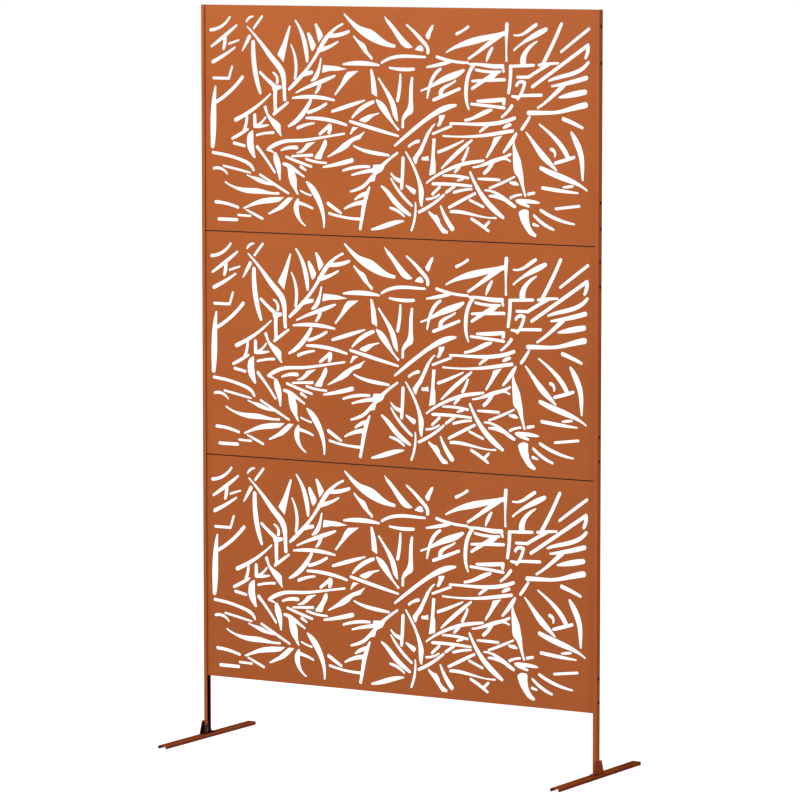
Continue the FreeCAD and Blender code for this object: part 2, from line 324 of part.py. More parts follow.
# Leaves with corners: the outline's points, across and down
leaf_shares = (
    # Upper left
    ((22.5, 8.5), (22.95, 8.9), (21.9, 17.5), (21.0, 24.8), (19.3, 21.4), (20.7, 16.5)),
    ((27.1, 11.9), (27.7, 11.3), (28.7, 14.0), (29.5, 16.8), (29.3, 18.2), (28.6, 19.8),
     (28.2, 19.2), (27.6, 15.5)),
    ((29.1, 7.9), (29.6, 7.4), (30.6, 10.0), (31.4, 12.6), (31.2, 13.5), (30.2, 15.9),
     (29.9, 14.0), (29.5, 10.5)),
    ((31.3, 25.6), (35.0, 26.0), (37.6, 27.2), (35.0, 28.0), (33.1, 28.1), (31.0, 29.1)),
    ((40.6, 27.8), (37.7, 28.3), (36.8, 30.2), (35.9, 33.7), (34.2, 38.3), (34.6, 38.8),
     (36.4, 34.9), (38.2, 31.3)),
    ((45.9, 45.7), (43.1, 46.8), (41.2, 48.4), (40.6, 49.4), (42.2, 50.3), (43.0, 49.5),
     (44.4, 47.3), (45.9, 46.2)),
    ((39.3, 12.3), (40.5, 14.4), (42.1, 16.0), (42.6, 17.6), (43.0, 19.5), (44.2, 21.8),
     (44.2, 22.8), (43.8, 23.0), (42.8, 21.1), (41.9, 19.7), (40.7, 16.9), (39.1, 13.1)),
    ((47.0, 3.6), (48.9, 6.6), (50.7, 10.3), (52.45, 13.8), (54.5, 17.2), (53.4, 17.7),
     (52.4, 17.4), (51.4, 16.0), (50.15, 12.8), (49.15, 10.0), (47.7, 6.6)),
    ((54.0, 29.9), (53.6, 34.1), (53.4, 41.4), (53.0, 43.9), (52.1, 46.0), (51.6, 48.1),
     (51.55, 52.2), (52.25, 52.2), (52.3, 48.6), (53.2, 46.9), (54.4, 45.6), (54.65, 43.9),
     (54.5, 40.0), (54.5, 35.0), (54.6, 29.9)),
    ((43.5, 26.9), (44.1, 27.0), (44.9, 31.6), (45.3, 36.9), (45.35, 39.0), (43.9, 37.5),
     (43.7, 31.6)),
    ((15.6, 44.4), (16.4, 43.8), (17.0, 47.6), (18.0, 49.2), (19.4, 50.8), (20.2, 52.2),
     (20.25, 55.5), (20.5, 57.1), (20.2, 57.4), (18.9, 54.6), (17.6, 51.6), (16.6, 48.6)),
    ((12.95, 54.8), (12.0, 55.7), (11.4, 57.0), (11.2, 59.5), (11.3, 62.2), (11.8, 64.3),
     (12.5, 66.0), (13.1, 67.2), (13.6, 67.0), (13.4, 65.5), (13.2, 62.9), (13.0, 60.2),
     (13.0, 57.2)),
    # Lower left
    ((24.2, 64.3), (25.6, 62.9), (26.5, 61.2), (26.8, 60.2), (27.7, 59.7), (29.4, 59.2),
     (28.0, 61.1), (27.0, 62.8), (26.0, 64.1), (24.7, 64.6)),
    ((21.6, 69.6), (22.0, 71.6), (22.2, 75.0), (22.7, 78.0), (23.5, 80.0), (24.2, 82.0),
     (24.6, 82.8), (24.9, 82.5), (24.45, 80.0), (24.4, 75.6), (23.95, 73.3), (24.0, 71.5),
     (22.6, 69.6)),
    ((31.8, 58.1), (31.3, 59.2), (30.7, 61.8), (29.6, 64.6), (29.0, 66.3), (29.3, 66.7),
     (30.7, 66.8), (31.0, 66.2), (31.3, 64.1), (32.0, 61.8), (32.4, 59.8), (32.2, 58.2)),
    ((32.3, 65.6), (33.6, 63.9), (35.0, 62.0), (36.4, 59.7), (37.9, 57.9), (38.9, 56.9),
     (40.7, 55.5), (42.3, 53.9), (41.5, 55.8), (41.0, 57.4), (39.4, 58.3), (38.7, 59.3),
     (37.9, 61.1), (36.4, 62.9), (35.0, 63.9), (33.6, 65.1), (32.5, 65.9)),
    ((39.0, 52.2), (40.5, 52.4), (39.3, 54.0), (38.6, 55.6), (38.2, 55.4), (38.7, 53.2)),
    ((44.3, 68.4), (46.6, 68.2), (47.3, 68.8), (46.7, 71.0), (45.1, 72.6), (44.9, 74.0),
     (44.7, 75.5), (43.2, 76.0), (43.4, 74.6), (44.6, 71.7), (44.1, 70.4)),
    ((10.1, 89.3), (11.8, 87.7), (13.4, 86.2), (15.1, 85.0), (17.6, 84.2), (21.1, 83.9),
     (19.8, 86.0), (18.1, 86.6), (15.9, 87.1), (13.9, 87.7), (12.1, 88.7), (10.4, 89.9)),
    ((22.0, 84.0), (23.5, 84.0), (22.0, 87.1), (20.7, 89.1), (19.0, 90.4), (17.1, 91.9),
     (16.7, 91.4), (17.8, 90.1), (19.3, 88.4), (20.7, 86.1)),
    # Middle
    ((52.7, 76.5), (55.1, 78.4), (55.35, 79.4), (54.9, 80.9), (54.2, 80.1), (52.6, 77.3)),
    ((60.1, 49.7), (59.2, 50.9), (57.9, 54.1), (56.9, 58.1), (56.2, 60.6), (55.3, 62.9),
     (54.4, 65.0), (55.0, 67.5), (55.4, 67.5), (55.9, 64.6), (56.9, 62.3), (57.3, 60.4),
     (58.0, 57.6), (58.8, 54.1), (59.5, 51.8), (60.3, 50.0)),
    ((56.7, 64.4), (57.85, 64.2), (58.4, 63.6), (58.6, 65.9), (56.7, 65.8)),
    ((59.45, 56.2), (60.35, 56.2), (60.15, 61.0), (60.05, 64.3), (60.3, 66.4), (60.3, 70.0),
     (60.25, 71.4), (58.6, 72.3), (58.9, 68.5), (59.15, 64.3), (59.35, 60.0)),
    ((61.1, 46.3), (62.7, 45.9), (62.4, 47.6), (61.9, 49.2), (61.4, 50.9), (60.8, 51.1),
     (60.6, 50.6), (61.1, 48.5)),
    ((58.5, 87.4), (60.0, 89.2), (60.6, 89.2), (61.4, 91.3), (61.5, 92.7), (62.3, 94.5),
     (63.5, 96.2), (63.3, 97.1), (62.0, 97.0), (61.1, 94.8), (60.0, 92.0), (58.4, 88.4)),
    ((59.2, 7.6), (59.8, 7.4), (59.7, 8.8), (59.1, 11.2), (58.7, 13.6), (58.1, 13.7),
     (57.6, 12.1), (58.6, 9.1)),
    ((54.9, 18.3), (55.65, 16.8), (56.2, 16.2), (56.8, 16.4), (57.25, 17.9), (57.1, 18.9),
     (56.2, 18.8)),
    # Right
    ((77.1, 54.1), (74.9, 55.1), (74.5, 57.6), (73.9, 60.0), (73.0, 62.9), (72.9, 64.1),
     (73.3, 63.9), (74.5, 61.0), (75.3, 58.6), (76.3, 56.0)),
    ((80.2, 55.0), (79.6, 58.5), (79.7, 64.0), (79.85, 68.3), (80.1, 70.0), (81.0, 71.7),
     (81.7, 75.0), (82.6, 80.0), (83.1, 80.0), (82.5, 75.0), (82.3, 70.6), (82.0, 67.6),
     (81.7, 64.6), (81.2, 62.2), (80.5, 59.6), (80.1, 57.2)),
    ((81.1, 86.7), (82.0, 85.5), (82.9, 85.3), (83.7, 85.8), (83.7, 89.1), (84.0, 92.1),
     (84.6, 94.1), (85.7, 96.2), (85.4, 97.1), (84.6, 96.7), (83.7, 95.8), (82.7, 93.4),
     (81.9, 91.1), (81.4, 88.7)),
    ((80.3, 81.4), (81.4, 80.9), (83.9, 81.0), (85.6, 81.5), (86.6, 82.3), (85.9, 82.8),
     (82.9, 82.7), (84.0, 83.7), (83.8, 84.6), (82.9, 84.2), (81.4, 83.4), (80.5, 82.4)),
    ((78.8, 73.6), (80.4, 73.5), (81.3, 74.8), (81.0, 75.3), (80.0, 75.3), (78.9, 74.6)),
)

# Places worked out from the sizes above
half_width = screen_width / 2
screen_height = leg_height + panel_count * panel_height + (panel_count - 1) * stack_gap
post_front = -post_depth / 2
post_back = post_depth / 2
web_inside = half_width - post_wall
panel_half_width = web_inside - post_fit
panel_width = 2 * panel_half_width
panel_front = -panel_depth / 2
panel_back = panel_depth / 2
panel_inside = panel_front + panel_wall
field_width = panel_width - field_left_margin - field_right_margin
foot_middle = half_width - post_flange / 2
bracket_inside = half_width + bracket_fit
bracket_outside = bracket_inside + bracket_wall
shelf_top = foot_height + bracket_wall
shelf_edge = bracket_outside - bracket_shelf
shelf_flat_end = bracket_inside - bracket_bend_radius + bracket_wall
foot_bolt_line = (shelf_edge + shelf_flat_end) / 2
post_bottom = shelf_top
screw_depth = (panel_inside + panel_back) / 2


def box(low, high):
    """A box between two corners."""
    size = high.sub(low)
    return Part.makeBox(size.x, size.y, size.z, low)


def edges_on(shape, places):
    """The straight edges whose ends have the coordinates that places asks for."""
    found = []
    for edge in shape.Edges:
        ends = [vertex.Point for vertex in edge.Vertexes]
        if all(abs(getattr(end, axis) - value) < post_fit for end in ends for axis, value in places):
            found.append(edge)
    return found


def mirrored(shape):
    """The left-hand copy of a right-hand piece."""
    return shape.mirror(Vector(), Vector(1, 0, 0))


def channel(outside, inside, outside_edges, inside_edges, radius, wall):
    """A folded channel: an outer block less an inner one, with the bends rounded."""
    outer = outside.makeFillet(radius, edges_on_any(outside, outside_edges))
    inner = inside.makeFillet(radius - wall, edges_on_any(inside, inside_edges))
    return outer.cut(inner)


def edges_on_any(shape, groups):
    """All edges that lie on any one of several lines."""
    found = []
    for places in groups:
        found.extend(edges_on(shape, places))
    return found


def side_line(points):
    """One long side of a cut-out: a line, an arc or a smooth curve through its points."""
    if len(points) == 2:
        return Part.LineSegment(*points).toShape()
    if len(points) == 3:
        reach = (points[2] - points[0]).Length
        bend = (points[1] - points[0]).cross(points[2] - points[1]).Length / reach
        if bend < reach * straight_share:
            return Part.LineSegment(points[0], points[2]).toShape()
        return Part.Arc(*points).toShape()
    curve = Part.BSplineCurve()
    curve.interpolate(points)
    return curve.toShape()


def directions(points):
    """The way that a centre line runs at each of its points."""
    ways = []
    for before, after in zip(points, points[1:]):
        way = after - before
        ways.append(way.normalize())
    inner = []
    for before, after in zip(ways, ways[1:]):
        way = before + after
        inner.append(way.normalize())
    if not inner:
        return [ways[0], ways[0]]
    first = ways[0] * 2 - inner[0]
    last = ways[-1] * 2 - inner[-1]
    return [first.normalize()] + inner + [last.normalize()]


def field_point(across, down):
    """A place on the panel's face, from its shares of the field."""
    x = -panel_half_width + field_left_margin + across * hundredth_share * field_width
    return Vector(x, panel_front - overrun, panel_height * (1 - down * hundredth_share))


def stroke_outline(stations):
    """A long cut-out with round ends that follows its stations."""
    centres = [field_point(across, down) for across, down, width in stations]
    halves = [width * hundredth_share * panel_height / 2 for across, down, width in stations]
    ways = directions(centres)
    up = [way.cross(Vector(0, 1, 0)) for way in ways]
    one_side = [c + u * h for c, u, h in zip(centres, up, halves)]
    other_side = [c - u * h for c, u, h in zip(centres, up, halves)]
    first_tip = centres[0] - ways[0] * halves[0]
    last_tip = centres[-1] + ways[-1] * halves[-1]
    other_side.reverse()
    return Part.Wire([
        side_line(one_side),
        Part.Arc(one_side[-1], last_tip, other_side[0]).toShape(),
        side_line(other_side),
        Part.Arc(other_side[-1], first_tip, one_side[0]).toShape(),
    ])


def leaf_outline(corners):
    """A closed outline of straight sides with its corners rounded."""
    points = [field_point(across, down) for across, down in corners]
    edges = []
    count = len(points)
    starts = []
    ends = []
    for i, corner in enumerate(points):
        before = points[i - 1] - corner
        after = points[(i + 1) % count] - corner
        reach = min(leaf_corner_radius, before.Length / 3, after.Length / 3)
        starts.append(corner + before.normalize() * reach)
        ends.append(corner + after.normalize() * reach)
    for i, corner in enumerate(points):
        middle = (starts[i] + ends[i] + corner * 2) * 0.25
        bulge = (middle - (starts[i] + ends[i]) * 0.5).Length
        if bulge > overrun * hundredth_share:
            edges.append(Part.Arc(starts[i], middle, ends[i]).toShape())
        else:
            edges.append(Part.LineSegment(starts[i], ends[i]).toShape())
        edges.append(Part.LineSegment(ends[i], starts[(i + 1) % count]).toShape())
    return Part.Wire(edges)


def pattern_tools():
    """The blocks that cut every leaf and stroke out of a panel's face."""
    outlines = [stroke_outline(stations) for stations in stroke_shares]
    outlines.extend(leaf_outline(corners) for corners in leaf_shares)
    push = Vector(0, panel_wall + 2 * overrun, 0)
    return [Part.Face(outline).extrude(push) for outline in outlines]


def panel_blank():
    """A panel before its pattern is cut: face and four folded flanges."""
    outside = box(Vector(-panel_half_width, panel_front, 0),
                  Vector(panel_half_width, panel_back, panel_height))
    outer = outside.makeFillet(panel_bend_radius, edges_on(outside, [("y", panel_front)]))
    inside = box(Vector(panel_wall - panel_half_width, panel_inside, panel_wall),
                 Vector(panel_half_width - panel_wall, panel_back + overrun,
                        panel_height - panel_wall))
    inner = inside.makeFillet(panel_bend_radius - panel_wall,
                              edges_on(inside, [("y", panel_inside)]))
    notch_front = panel_front + panel_bend_radius
    notches = []
    for side in (-1, 1):
        for level in (0, panel_height):
            centre = Vector(side * panel_half_width, 0, level)
            reach = Vector(corner_notch, 0, corner_notch)
            low = centre - reach
            high = centre + reach
            low.y = notch_front
            high.y = panel_back + overrun
            notches.append(box(low, high))
    return outer.cut([inner] + notches)


def rod(start, way, diameter, length):
    """A round rod or hole from a point along a direction."""
    return Part.makeCylinder(diameter / 2, length, start, way)


def screw_heights(shares):
    """Heights of one panel's screws above its lower edge, from the lowest up."""
    return sorted(panel_height * (1 - share) for share in shares)


def side_holes(heights, diameter):
    """Holes along X through both side flanges of a panel, or both posts."""
    reach = half_width + overrun
    holes = []
    for height in heights:
        start = Vector(-reach, screw_depth, height)
        holes.append(rod(start, Vector(1, 0, 0), diameter, reach - panel_half_width + post_flange))
        start = Vector(reach, screw_depth, height)
        holes.append(rod(start, Vector(-1, 0, 0), diameter, reach - panel_half_width + post_flange))
    return holes


def panel(face, level, shares):
    """One panel of the stack, with the screw holes that its place asks for."""
    holed = face.cut(side_holes(screw_heights(shares), screw_diameter + hole_clearance))
    holed.translate(Vector(0, 0, level))
    return holed


def post():
    """The right-hand post with its screw and bolt holes."""
    outside = box(Vector(half_width - post_flange, post_front, post_bottom),
                  Vector(half_width, post_back, screen_height))
    inside = box(Vector(half_width - post_flange - overrun, post_front + post_wall,
                        post_bottom - overrun),
                 Vector(web_inside, post_back - post_wall, screen_height + overrun))
    outer_bends = [[("x", half_width), ("y", post_front)], [("x", half_width), ("y", post_back)]]
    inner_bends = [[("x", web_inside), ("y", post_front + post_wall)],
                   [("x", web_inside), ("y", post_back - post_wall)]]
    shape = channel(outside, inside, outer_bends, inner_bends, post_bend_radius, post_wall)
    holes = []
    for level, shares in zip(panel_levels, panel_screw_shares):
        for height in screw_heights(shares):
            holes.append(rod(Vector(web_inside - overrun, screw_depth, level + height),
                             Vector(1, 0, 0), screw_diameter + hole_clearance,
                             post_wall + 2 * overrun))
    for height in bracket_bolt_heights:
        holes.append(rod(Vector(web_inside - overrun, 0, height), Vector(1, 0, 0),
                         bolt_diameter + hole_clearance, post_wall + 2 * overrun))
    return shape.cut(holes)


def foot():
    """The right-hand foot: a channel with its open side on the floor."""
    half = foot_width / 2
    outside = box(Vector(foot_middle - half, -foot_length / 2, 0),
                  Vector(foot_middle + half, foot_length / 2, foot_height))
    inside = box(Vector(foot_middle - half + foot_wall, -foot_length / 2 - overrun, -overrun),
                 Vector(foot_middle + half - foot_wall, foot_length / 2 + overrun,
                        foot_height - foot_wall))
    outer_bends = [[("x", foot_middle - half), ("z", foot_height)],
                   [("x", foot_middle + half), ("z", foot_height)]]
    inner_bends = [[("x", foot_middle - half + foot_wall), ("z", foot_height - foot_wall)],
                   [("x", foot_middle + half - foot_wall), ("z", foot_height - foot_wall)]]
    shape = channel(outside, inside, outer_bends, inner_bends, foot_bend_radius, foot_wall)
    holes = []
    for place in foot_bolt_places:
        holes.append(rod(Vector(foot_bolt_line, place, foot_height - foot_wall - overrun),
                         Vector(0, 0, 1), bolt_diameter + hole_clearance,
                         foot_wall + 2 * overrun))
    return shape.cut(holes)


def bracket():
    """The right-hand bracket: a trapezoid plate folded in over the foot."""
    top = foot_height + bracket_height
    block = box(Vector(shelf_edge, -bracket_bottom_width / 2, foot_height),
                Vector(bracket_outside, bracket_bottom_width / 2, top))
    outer = block.makeFillet(bracket_bend_radius,
                             edges_on(block, [("x", bracket_outside), ("z", foot_height)]))
    void = box(Vector(shelf_edge - overrun, -bracket_bottom_width / 2 - overrun, shelf_top),
               Vector(bracket_inside, bracket_bottom_width / 2 + overrun, top + overrun))
    inner = void.makeFillet(bracket_bend_radius - bracket_wall,
                            edges_on(void, [("x", bracket_inside), ("z", shelf_top)]))
    plate = outer.cut(inner)
    low_half = bracket_bottom_width / 2
    top_half = bracket_top_width / 2
    slope_start = foot_height + bracket_bend_radius
    outline = Part.makePolygon([
        Vector(0, -low_half, foot_height - overrun),
        Vector(0, -low_half, slope_start),
        Vector(0, -top_half, top),
        Vector(0, top_half, top),
        Vector(0, low_half, slope_start),
        Vector(0, low_half, foot_height - overrun),
        Vector(0, -low_half, foot_height - overrun),
    ])
    mask = Part.Face(outline).extrude(Vector(bracket_outside + overrun, 0, 0))
    mask = mask.makeFillet(bracket_corner_radius, edges_on_any(mask, [
        [("y", -top_half), ("z", top)], [("y", top_half), ("z", top)]]))
    holes = []
    for height in bracket_bolt_heights:
        holes.append(rod(Vector(bracket_inside - overrun, 0, height), Vector(1, 0, 0),
                         bolt_diameter + hole_clearance, bracket_wall + 2 * overrun))
    for place in foot_bolt_places:
        holes.append(rod(Vector(foot_bolt_line, place, foot_height - overrun), Vector(0, 0, 1),
                         bolt_diameter + hole_clearance, bracket_wall + 2 * overrun))
    return plate.common(mask).cut(holes)


def turned(shape, seat, way):
    """A fastener modelled up the Z axis, moved to its seat and turned along a direction."""
    turn = FreeCAD.Rotation(Vector(0, 0, 1), way)
    shape.Placement = FreeCAD.Placement(seat, turn)
    return shape


def screw(diameter, head_diameter, head_height, reach):
    """A button-head screw: its head above zero, its shank below, with a hexagon recess."""
    head = Part.makeCylinder(head_diameter / 2, head_height)
    rim = [edge for edge in head.Edges
           if all(abs(vertex.Point.z - head_height) < post_fit for vertex in edge.Vertexes)
           and edge.Length > head_height]
    head = head.makeFillet(head_edge_radius, rim[:1])
    shank = Part.makeCylinder(diameter / 2, reach + recess_depth, Vector(0, 0, -reach))
    recess = hexagon(recess_width, recess_depth + overrun)
    recess.translate(Vector(0, 0, head_height - recess_depth))
    return head.fuse(shank).cut(recess).removeSplitter()


def hexagon(width, height):
    """A hexagonal prism whose flats face front and back."""
    corner = width / math.sqrt(3)
    points = []
    for i in range(7):
        angle = math.pi * i / 3
        points.append(Vector(corner * math.cos(angle), corner * math.sin(angle), 0))
    return Part.Face(Part.makePolygon(points)).extrude(Vector(0, 0, height))


def nut(width, height, bore):
    """A hexagon nut above zero, with its corners turned down at both ends."""
    body = hexagon(width, height)
    corner = width / math.sqrt(3)
    slope = corner * nut_chamfer_share
    lower = Part.makeCone(corner - slope, corner + height - slope, height)
    upper = Part.makeCone(corner + height - slope, corner - slope, height)
    body = body.common(lower).common(upper)
    return body.cut(rod(Vector(0, 0, -overrun), Vector(0, 0, 1), bore, height + 2 * overrun))


def panel_fasteners(level, shares):
    """The right-hand screws and nuts of one panel."""
    screws = []
    nuts = []
    flange_inside = panel_half_width - panel_wall
    reach = half_width - flange_inside + screw_nut_height + screw_tip
    for height in screw_heights(shares):
        z = level + height
        piece = screw(screw_diameter, screw_head_diameter, screw_head_height, reach)
        screws.append(turned(piece, Vector(half_width, screw_depth, z), Vector(1, 0, 0)))
        piece = nut(screw_nut_width, screw_nut_height, screw_diameter)
        nuts.append(turned(piece, Vector(flange_inside, screw_depth, z), Vector(-1, 0, 0)))
    return Part.makeCompound(screws), Part.makeCompound(nuts)


def bracket_fasteners():
    """The right-hand bolts that hold the bracket to the post, and their nuts."""
    bolts = []
    nuts = []
    reach = bracket_outside - web_inside + bolt_nut_height + bolt_tip
    for height in bracket_bolt_heights:
        piece = screw(bolt_diameter, bolt_head_diameter, bolt_head_height, reach)
        bolts.append(turned(piece, Vector(bracket_outside, 0, height), Vector(1, 0, 0)))
        piece = nut(bolt_nut_width, bolt_nut_height, bolt_diameter)
        nuts.append(turned(piece, Vector(web_inside, 0, height), Vector(-1, 0, 0)))
    return Part.makeCompound(bolts), Part.makeCompound(nuts)


def foot_fasteners():
    """The right-hand bolts that hold the bracket down on the foot, and their nuts."""
    bolts = []
    nuts = []
    reach = bracket_wall + foot_wall + bolt_nut_height + bolt_tip
    for place in foot_bolt_places:
        piece = screw(bolt_diameter, bolt_head_diameter, bolt_head_height, reach)
        bolts.append(turned(piece, Vector(foot_bolt_line, place, shelf_top), Vector(0, 0, 1)))
        piece = nut(bolt_nut_width, bolt_nut_height, bolt_diameter)
        seat = Vector(foot_bolt_line, place, foot_height - foot_wall)
        nuts.append(turned(piece, seat, Vector(0, 0, -1)))
    return Part.makeCompound(bolts), Part.makeCompound(nuts)


def write(name, shape):
    """Writes one piece to its own file and says what it is."""
    shape.exportStep("parts/" + name + ".step")
    print(name, len(shape.Solids), "solids", round(shape.Volume), "mm3", shape.isValid())


def write_pair(name, shape):
    """Writes the right-hand piece and its mirrored left-hand twin."""
    write(name + "_right", shape)
    write(name + "_left", mirrored(shape))


panel_names = ("bottom", "middle", "top")
panel_screw_shares = (bottom_screw_shares, middle_screw_shares, top_screw_shares)
panel_levels = [leg_height + i * (panel_height + stack_gap) for i in range(panel_count)]
bracket_bolt_heights = (foot_height + bolt_low_height, foot_height + bolt_high_height)
foot_bolt_places = (-foot_bolt_spread / 2, foot_bolt_spread / 2)

os.makedirs("parts", exist_ok=True)

tools = pattern_tools()
cut_face = panel_blank().cut(tools)

for name, level, shares in zip(panel_names, panel_levels, panel_screw_shares):
    write("panel_" + name, panel(cut_face, level, shares))
    screws, nuts = panel_fasteners(level, shares)
    write_pair("screws_" + name, screws)
    write_pair("nuts_" + name, nuts)

write_pair("post", post())
write_pair("foot", foot())
write_pair("bracket", bracket())

bolts, nuts = bracket_fasteners()
write_pair("bracket_bolts", bolts)
write_pair("bracket_nuts", nuts)

bolts, nuts = foot_fasteners()
write_pair("foot_bolts", bolts)
write_pair("foot_nuts", nuts)
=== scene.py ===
# %% [markdown]
# # An outdoor privacy screen in rust-orange powder coat
#
# The real screen is three sheets of steel with leaves cut through them,
# held between two slim posts on long flat feet. Every piece is folded sheet
# metal, so the engineering model already has the true shapes. What is left
# for this lesson is the finish: what powder coat looks like on a flat face,
# in a fold and along a cut edge, and what the screws and nuts look like.
#
# Finishes can be painted by hand on unwrapped faces. Here they are worked out
# from each point's place on the object instead, so that they need no picture
# and no unwrapping, and fit every piece.
#
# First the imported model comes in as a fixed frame. Nothing in it is moved.
# Lengths are in metres, and only the camera's lens and sensor in millimetres.

import math

import bpy
import numpy as np
from mathutils import Matrix, Vector


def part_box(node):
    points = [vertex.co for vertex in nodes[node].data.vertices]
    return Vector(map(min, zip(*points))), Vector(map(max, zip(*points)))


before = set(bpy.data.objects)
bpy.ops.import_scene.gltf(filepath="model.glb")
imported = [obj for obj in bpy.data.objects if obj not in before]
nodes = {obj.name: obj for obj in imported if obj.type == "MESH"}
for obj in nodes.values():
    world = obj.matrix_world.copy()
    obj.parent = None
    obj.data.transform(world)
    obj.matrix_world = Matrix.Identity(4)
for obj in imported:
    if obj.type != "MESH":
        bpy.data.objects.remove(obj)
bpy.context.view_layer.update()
print("pieces:", len(nodes))

# %% [markdown]
# ## A small vocabulary for node materials
#
# A material is a graph of nodes. It could be wired by hand in the shader
# editor, but four coats that differ only in colour and in painted shade are
# easier to keep alike in code. Writing each link out in full would hide the
# idea, so a few short helpers carry the wiring. Each of them takes a plain
# number or another node's output in the same way.

# %% A material and its links
def new_material(name):
    """An empty node material with its surface shader and its object coordinates."""
    material = bpy.data.materials.new(name)
    material.use_nodes = True
    tree = material.node_tree
    tree.nodes.clear()
    output = tree.nodes.new("ShaderNodeOutputMaterial")
    shader = tree.nodes.new("ShaderNodeBsdfPrincipled")
    tree.links.new(shader.outputs["BSDF"], output.inputs["Surface"])
    place = tree.nodes.new("ShaderNodeTexCoord").outputs["Object"]
    return material, tree, shader, place


def attach(tree, socket, value):
    """Links value to the socket if it comes from a node, or sets it if it is a number."""
    if isinstance(value, bpy.types.NodeSocket):
        tree.links.new(value, socket)
    else:
        socket.default_value = value


print("material helpers ready")

# %% Sums, masks and mixed colours
def maths(tree, operation, *values):
    """The result of one operation, such as ADD, on the values in their order."""
    node = tree.nodes.new("ShaderNodeMath")
    node.operation = operation
    for socket, value in zip(node.inputs, values):
        attach(tree, socket, value)
    return node.outputs[0]


def product(tree, first, *others):
    """All the values multiplied together."""
    for other in others:
        first = maths(tree, "MULTIPLY", first, other)
    return first


def mask(tree, value, start, end):
    """Nought up to start, one from end on, and between them t squared times three minus two t.

    Here t is how far the value has gone from start to end, as a share. Start may be above end.
    """
    node = tree.nodes.new("ShaderNodeMapRange")
    node.interpolation_type = "SMOOTHSTEP"
    attach(tree, node.inputs["Value"], value)
    node.inputs["From Min"].default_value = start
    node.inputs["From Max"].default_value = end
    return node.outputs["Result"]


def blend_colours(tree, amount, first, second, mode="MIX"):
    """Goes from the first colour to the second as amount goes from nought to one."""
    node = tree.nodes.new("ShaderNodeMix")
    node.data_type = "RGBA"
    node.blend_type = mode
    attach(tree, node.inputs["Factor"], amount)
    attach(tree, node.inputs["A"], first)
    attach(tree, node.inputs["B"], second)
    return node.outputs["Result"]


print("value helpers ready")

# %% [markdown]
# ## Powder coat: an uneven film
#
# Powder coat is a plastic dust that is sprayed on and melted in an oven. The
# film is never quite even. Over a wide sheet it is a little thicker in some
# places, which shows as slow drifts in tone, and close by it has a fine
# mottle and dark flecks.
#
# A picture of the coat could show all this, but it would need unwrapped faces
# and would blur close by. Noise at four sizes, from a lump as wide as half a
# panel down to a grain, stays sharp at any distance and needs no unwrapping.

# %% The coat's tone, flecks and mottle
drift_lumps_per_metre = 1.6
cloud_lumps_per_metre = 9.0
mottle_lumps_per_metre = 340.0
fleck_lumps_per_metre = 900.0
drift_share = 0.6
fleck_strength = 0.22
fleck_darkness = 0.55
mottle_depth = 0.12

# Most of a cloudy noise lies between these two values.
noise_low = 0.34
noise_high = 0.66


def noise(tree, place, lumps_per_metre, detail, roughness=0.5):
    """Cloudy values around a half, with finer layers added up to the detail."""
    node = tree.nodes.new("ShaderNodeTexNoise")
    node.inputs["Scale"].default_value = lumps_per_metre
    node.inputs["Detail"].default_value = detail
    node.inputs["Roughness"].default_value = roughness
    tree.links.new(place, node.inputs["Vector"])
    return node.outputs["Fac"]


def drifting_tone(tree, place, colour, shade):
    """Goes from shade to colour with the drift and the cloud, added in their shares."""
    drift = noise(tree, place, drift_lumps_per_metre, detail=3.0)
    cloud = noise(tree, place, cloud_lumps_per_metre, detail=4.0, roughness=0.6)
    part_of_drift = product(tree, drift, drift_share)
    uneven = maths(tree, "MULTIPLY_ADD", cloud, 1 - drift_share, part_of_drift)
    tone = mask(tree, uneven, noise_low, noise_high)
    return blend_colours(tree, tone, (*shade, 1), (*colour, 1))


def flecks(tree, place, coat, shade):
    """Darkens the coat towards a deep shade in the few highest grains of a fine noise."""
    grain = noise(tree, place, fleck_lumps_per_metre, detail=1.0)
    amount = product(tree, mask(tree, grain, start=0.58, end=0.72), fleck_strength)
    deep = [channel * fleck_darkness for channel in shade]
    return blend_colours(tree, amount, coat, (*deep, 1))


def mottled(tree, coat, mottle):
    """Multiplies the coat by one, give or take half the mottle's depth."""
    film = mask(tree, mottle, noise_low, noise_high)
    factor = maths(tree, "MULTIPLY_ADD", film, mottle_depth, 1 - mottle_depth / 2)
    return blend_colours(tree, 1.0, coat, factor, "MULTIPLY")


print("lumps per metre:", drift_lumps_per_metre, cloud_lumps_per_metre,
      mottle_lumps_per_metre, fleck_lumps_per_metre)

# %% [markdown]
# ## Powder coat: thin edges
#
# At an edge the melt pulls back and the film is thin, so edges look slightly
# paler, and they wear first, in patches.
#
# The edges could be painted on a mask texture, but that needs unwrapped
# faces. The Bevel node finds them by itself: it rounds the normal near an
# edge, so where its normal differs from the face's own there is an edge. The
# rounded normal also makes a sharp edge catch the light as a real one does.

# %% Worn edges
coat_edge_radius = 0.0008
patches_per_metre = 60.0
wear_strength = 0.75
pale_gain = 1.45
pale_lift = 0.04
bevel_samples = 6


def rounded_normal(tree, radius):
    """The face's normal, turned near each sharp edge as if the edge had the radius."""
    node = tree.nodes.new("ShaderNodeBevel")
    node.samples = bevel_samples
    node.inputs["Radius"].default_value = radius
    return node.outputs["Normal"]


def edge_mask(tree, rounded):
    """Nought on flat faces, rising to one on edges.

    It comes from the dot product of the rounded normal and the face's own, which is one where they agree.
    """
    flat = tree.nodes.new("ShaderNodeNewGeometry").outputs["Normal"]
    closeness = tree.nodes.new("ShaderNodeVectorMath")
    closeness.operation = "DOT_PRODUCT"
    tree.links.new(rounded, closeness.inputs[0])
    tree.links.new(flat, closeness.inputs[1])
    return mask(tree, closeness.outputs["Value"], start=0.99, end=0.80)


